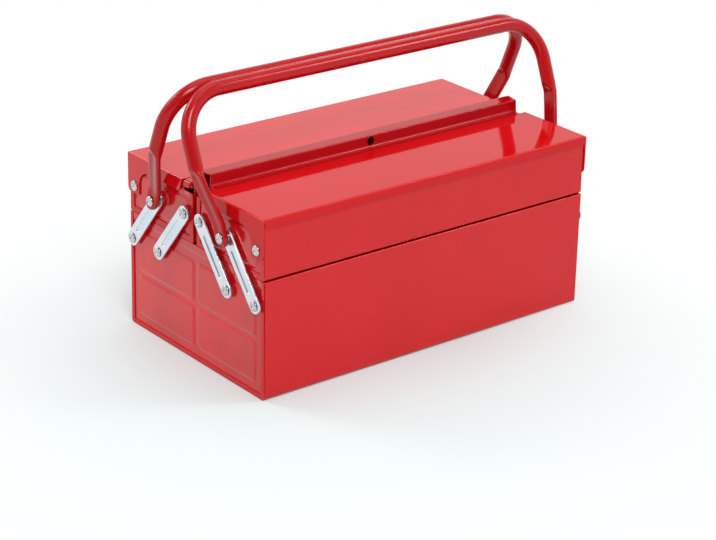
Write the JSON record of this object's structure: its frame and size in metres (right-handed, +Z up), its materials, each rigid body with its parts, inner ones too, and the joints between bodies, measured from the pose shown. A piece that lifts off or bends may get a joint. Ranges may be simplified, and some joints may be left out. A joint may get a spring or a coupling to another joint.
{
  "type": "cantilever tool box",
  "caption": "Sheet-steel tool box whose upper trays swing out on parallel links, with hinged lids, a padlock ridge and folding tube handles.",
  "frame": {"origin": "middle of the base's underside, on the surface the box stands on", "axes": "+X along the box, -Y towards the front lid with the padlock ridge, +Z up"},
  "size_m": [0.3994, 0.1978, 0.2482],
  "materials": {
    "red_paint": "gloss",
    "zinc_links": "satin",
    "zinc_rivets": "polished"
  },
  "bodies": {
    "base": {"base_wrap": "red_paint", "base_end_left": "red_paint", "base_end_right": "red_paint", "base_rivets_left": "zinc_rivets", "base_rivets_right": "zinc_rivets"},
    "front_outer_links": {"front_outer_link_left": "zinc_links", "front_outer_link_right": "zinc_links"},
    "front_inner_links": {"front_inner_link_left": "zinc_links", "front_inner_link_right": "zinc_links"},
    "front_tray": {"front_tray_wrap": "red_paint", "front_tray_end_left": "red_paint", "front_tray_end_right": "red_paint", "front_tray_rivets": "zinc_rivets", "front_handle_rivets": "zinc_rivets", "front_lid_rivets": "zinc_rivets"},
    "front_lid": {"front_lid": "red_paint", "front_lid_ridge": "red_paint"},
    "front_handle": {"front_handle": "red_paint"},
    "rear_outer_links": {"rear_outer_link_left": "zinc_links", "rear_outer_link_right": "zinc_links"},
    "rear_inner_links": {"rear_inner_link_left": "zinc_links", "rear_inner_link_right": "zinc_links"},
    "rear_tray": {"rear_tray_wrap": "red_paint", "rear_tray_end_left": "red_paint", "rear_tray_end_right": "red_paint", "rear_tray_rivets": "zinc_rivets", "rear_handle_rivets": "zinc_rivets", "rear_lid_rivets": "zinc_rivets"},
    "rear_lid": {"rear_lid": "red_paint", "rear_lid_flange": "red_paint"},
    "rear_handle": {"rear_handle": "red_paint"}
  },
  "joints": [
    {"name": "front_swing", "type": "hinge", "parent": "base", "child": "front_outer_links", "pos_m": [0, -0.0896, 0.0833], "axis": [1, 0, 0], "range_deg": [0, 78]},
    {"name": "front_tray_level", "type": "hinge", "parent": "front_outer_links", "child": "front_tray", "pos_m": [0, -0.051, 0.131], "axis": [1, 0, 0], "range_deg": [-78, 0]},
    {"name": "front_inner_swing", "type": "hinge", "parent": "base", "child": "front_inner_links", "pos_m": [0, -0.0501, 0.0833], "axis": [1, 0, 0], "range_deg": [0, 78]},
    {"name": "front_lid_hinge", "type": "hinge", "parent": "front_tray", "child": "front_lid", "pos_m": [0, -0.089, 0.1312], "axis": [1, 0, 0], "range_deg": [0, 125]},
    {"name": "front_handle_pivot", "type": "hinge", "parent": "front_tray", "child": "front_handle", "pos_m": [0, -0.051, 0.131], "axis": [1, 0, 0], "range_deg": [0, 150]},
    {"name": "rear_swing", "type": "hinge", "parent": "base", "child": "rear_outer_links", "pos_m": [0, 0.0896, 0.0833], "axis": [-1, 0, 0], "range_deg": [0, 78]},
    {"name": "rear_tray_level", "type": "hinge", "parent": "rear_outer_links", "child": "rear_tray", "pos_m": [0, 0.051, 0.131], "axis": [-1, 0, 0], "range_deg": [-78, 0]},
    {"name": "rear_inner_swing", "type": "hinge", "parent": "base", "child": "rear_inner_links", "pos_m": [0, 0.0501, 0.0833], "axis": [-1, 0, 0], "range_deg": [0, 78]},
    {"name": "rear_lid_hinge", "type": "hinge", "parent": "rear_tray", "child": "rear_lid", "pos_m": [0, 0.089, 0.1312], "axis": [-1, 0, 0], "range_deg": [0, 125]},
    {"name": "rear_handle_pivot", "type": "hinge", "parent": "rear_tray", "child": "rear_handle", "pos_m": [0, 0.051, 0.131], "axis": [-1, 0, 0], "range_deg": [0, 150]}
  ],
  "couplings": [
    {"joint": "front_tray_level", "follows": "front_swing", "ratio": -1},
    {"joint": "front_inner_swing", "follows": "front_swing", "ratio": 1},
    {"joint": "rear_tray_level", "follows": "rear_swing", "ratio": -1},
    {"joint": "rear_inner_swing", "follows": "rear_swing", "ratio": 1}
  ]
}
